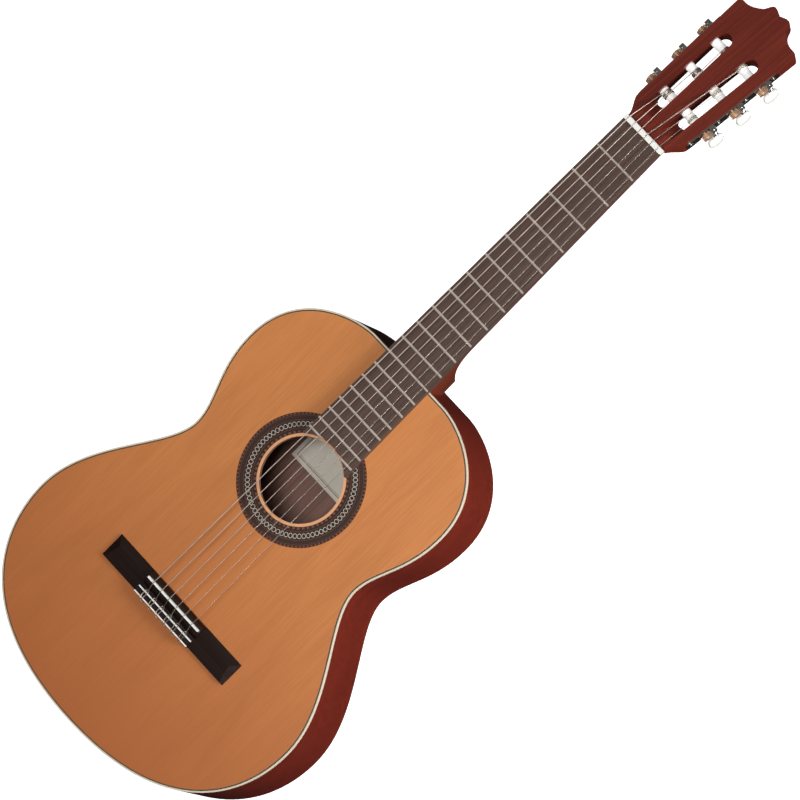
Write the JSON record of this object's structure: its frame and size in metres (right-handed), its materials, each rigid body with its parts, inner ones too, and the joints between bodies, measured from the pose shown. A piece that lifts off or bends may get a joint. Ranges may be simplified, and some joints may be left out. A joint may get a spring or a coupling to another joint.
{
  "type": "classical guitar",
  "caption": "Classical guitar with nylon strings: shallow hollow body with a round sound hole, tie bridge, fretted neck and slotted head with worm tuners.",
  "frame": {"origin": "on the centre line of the outer face of the flat back, at the middle of the body's length", "axes": "+Y along the neck to the head, +X to the treble side, +Z out of the back towards the strings; the guitar lies on its back"},
  "size_m": [0.377, 0.9903, 0.11],
  "materials": {
    "cedar_top": "satin",
    "rosette_mosaic": "satin",
    "spruce": "matte",
    "lining_wood": "matte",
    "mahogany_body": "gloss",
    "cream_binding": "gloss",
    "dark_purfling": "satin",
    "mahogany_neck": "satin",
    "dark_veneer": "gloss",
    "fingerboard_wood": "satin",
    "nickel_silver": "polished",
    "bone": "satin",
    "bridge_wood": "satin",
    "paper": "matte",
    "nylon": "clear",
    "wound_string": "ribbed",
    "nickel_plate": "polished",
    "pearl_plastic": "pearl",
    "brass_gear": "satin",
    "white_roller": "gloss"
  },
  "bodies": {
    "guitar": {"soundboard_bass": "cedar_top", "soundboard_treble": "cedar_top", "rosette": "rosette_mosaic", "soundhole_doubler": "spruce", "top_braces": "spruce", "bridge_patch": "spruce", "back_bass": "mahogany_body", "back_treble": "mahogany_body", "back_centre_strip": "mahogany_body", "back_braces": "spruce", "rib_bass": "mahogany_body", "rib_treble": "mahogany_body", "neck_block": "lining_wood", "tail_block": "lining_wood", "top_linings": "lining_wood", "back_linings": "lining_wood", "top_binding": "cream_binding", "top_purfling": "dark_purfling", "back_binding": "mahogany_body", "end_graft": "cream_binding", "neck": "mahogany_neck", "headstock": "mahogany_neck", "head_veneer": "dark_veneer", "heel_cap": "dark_veneer", "fingerboard": "fingerboard_wood", "frets": "nickel_silver", "nut": "bone", "bridge": "bridge_wood", "tie_block_inlays": "bone", "saddle": "bone", "label": "paper", "treble_strings": "nylon", "bass_strings": "wound_string", "tuner_plate_bass": "nickel_plate", "tuner_plate_treble": "nickel_plate", "plate_screws": "nickel_plate"},
    "tuner_key_1": {"worm_1": "nickel_plate", "button_1": "pearl_plastic"},
    "string_post_1": {"gear_1": "brass_gear", "roller_1": "white_roller"},
    "tuner_key_2": {"worm_2": "nickel_plate", "button_2": "pearl_plastic"},
    "string_post_2": {"gear_2": "brass_gear", "roller_2": "white_roller"},
    "tuner_key_3": {"worm_3": "nickel_plate", "button_3": "pearl_plastic"},
    "string_post_3": {"gear_3": "brass_gear", "roller_3": "white_roller"},
    "tuner_key_4": {"worm_4": "nickel_plate", "button_4": "pearl_plastic"},
    "string_post_4": {"gear_4": "brass_gear", "roller_4": "white_roller"},
    "tuner_key_5": {"worm_5": "nickel_plate", "button_5": "pearl_plastic"},
    "string_post_5": {"gear_5": "brass_gear", "roller_5": "white_roller"},
    "tuner_key_6": {"worm_6": "nickel_plate", "button_6": "pearl_plastic"},
    "string_post_6": {"gear_6": "brass_gear", "roller_6": "white_roller"}
  },
  "joints": [
    {"name": "key_1_turn", "type": "hinge", "parent": "guitar", "child": "tuner_key_1", "pos_m": [0.04162, 0.61984, 0.0642], "axis": [0, 0.2597, 0.9657], "continuous": true},
    {"name": "post_1_turn", "type": "hinge", "parent": "guitar", "child": "string_post_1", "pos_m": [0.03668, 0.61211, 0.06627], "axis": [0.9991, -0.0404, 0.0109], "continuous": true},
    {"name": "key_2_turn", "type": "hinge", "parent": "guitar", "child": "tuner_key_2", "pos_m": [0.04308, 0.6536, 0.05512], "axis": [0, 0.2597, 0.9657], "continuous": true},
    {"name": "post_2_turn", "type": "hinge", "parent": "guitar", "child": "string_post_2", "pos_m": [0.03814, 0.64588, 0.05719], "axis": [0.9991, -0.0404, 0.0109], "continuous": true},
    {"name": "key_3_turn", "type": "hinge", "parent": "guitar", "child": "tuner_key_3", "pos_m": [0.04455, 0.68737, 0.04603], "axis": [0, 0.2597, 0.9657], "continuous": true},
    {"name": "post_3_turn", "type": "hinge", "parent": "guitar", "child": "string_post_3", "pos_m": [0.03961, 0.67965, 0.04811], "axis": [0.9991, -0.0404, 0.0109], "continuous": true},
    {"name": "key_4_turn", "type": "hinge", "parent": "guitar", "child": "tuner_key_4", "pos_m": [-0.04455, 0.68737, 0.04603], "axis": [0, 0.2597, 0.9657], "continuous": true},
    {"name": "post_4_turn", "type": "hinge", "parent": "guitar", "child": "string_post_4", "pos_m": [-0.03961, 0.67965, 0.04811], "axis": [-0.9991, -0.0404, 0.0109], "continuous": true},
    {"name": "key_5_turn", "type": "hinge", "parent": "guitar", "child": "tuner_key_5", "pos_m": [-0.04308, 0.6536, 0.05512], "axis": [0, 0.2597, 0.9657], "continuous": true},
    {"name": "post_5_turn", "type": "hinge", "parent": "guitar", "child": "string_post_5", "pos_m": [-0.03814, 0.64588, 0.05719], "axis": [-0.9991, -0.0404, 0.0109], "continuous": true},
    {"name": "key_6_turn", "type": "hinge", "parent": "guitar", "child": "tuner_key_6", "pos_m": [-0.04162, 0.61984, 0.0642], "axis": [0, 0.2597, 0.9657], "continuous": true},
    {"name": "post_6_turn", "type": "hinge", "parent": "guitar", "child": "string_post_6", "pos_m": [-0.03668, 0.61211, 0.06627], "axis": [-0.9991, -0.0404, 0.0109], "continuous": true}
  ],
  "couplings": [
    {"joint": "post_1_turn", "follows": "key_1_turn", "ratio": -0.071429},
    {"joint": "post_2_turn", "follows": "key_2_turn", "ratio": -0.071429},
    {"joint": "post_3_turn", "follows": "key_3_turn", "ratio": -0.071429},
    {"joint": "post_4_turn", "follows": "key_4_turn", "ratio": -0.071429},
    {"joint": "post_5_turn", "follows": "key_5_turn", "ratio": -0.071429},
    {"joint": "post_6_turn", "follows": "key_6_turn", "ratio": -0.071429}
  ]
}
